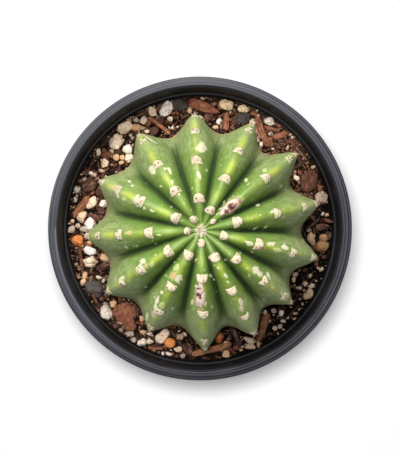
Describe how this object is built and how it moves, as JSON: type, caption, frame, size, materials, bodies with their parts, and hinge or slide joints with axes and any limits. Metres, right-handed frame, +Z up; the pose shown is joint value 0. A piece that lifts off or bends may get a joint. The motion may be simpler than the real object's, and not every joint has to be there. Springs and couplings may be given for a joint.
{
  "type": "potted round cactus",
  "caption": "Round, deeply ribbed green cactus with woolly areoles, growing in bark and pumice mix in a black tapered nursery pot.",
  "frame": {"origin": "centre of the pot's underside, on the surface it stands on", "axes": "+Z up along the pot's axis; +X to the right and +Y to the top of the picture, which looks straight down"},
  "size_m": [0.127, 0.127, 0.1368],
  "materials": {
    "pot": "satin, moulded",
    "soil": "rough, damp peat mix",
    "cactus": "waxy living skin",
    "bark": "rough composted bark",
    "charcoal": "dull, broken",
    "pumice": "matte, porous",
    "clay": "matte, fired"
  },
  "bodies": {
    "root": {"pot": "pot", "soil": "soil", "cactus": "cactus", "bark_chip_1": "bark", "bark_chip_2": "bark", "bark_chip_3": "bark", "bark_chip_4": "bark", "bark_stick_1": "bark", "bark_stick_2": "bark", "bark_stick_3": "bark", "bark_stick_4": "bark", "charcoal_lump_1": "charcoal", "charcoal_lump_2": "charcoal", "charcoal_lump_3": "charcoal", "pumice_stone_1": "pumice", "pumice_stone_2": "pumice", "pumice_stone_3": "pumice", "pumice_stone_4": "pumice", "pumice_stone_5": "pumice", "pumice_stone_6": "pumice", "pumice_stone_7": "pumice", "pumice_stone_8": "pumice", "pumice_stone_9": "pumice", "pumice_stone_10": "pumice", "pumice_stone_11": "pumice", "pumice_stone_12": "pumice", "clay_pebble_1": "clay", "clay_pebble_2": "clay", "clay_pebble_3": "clay"}
  },
  "joints": []
}
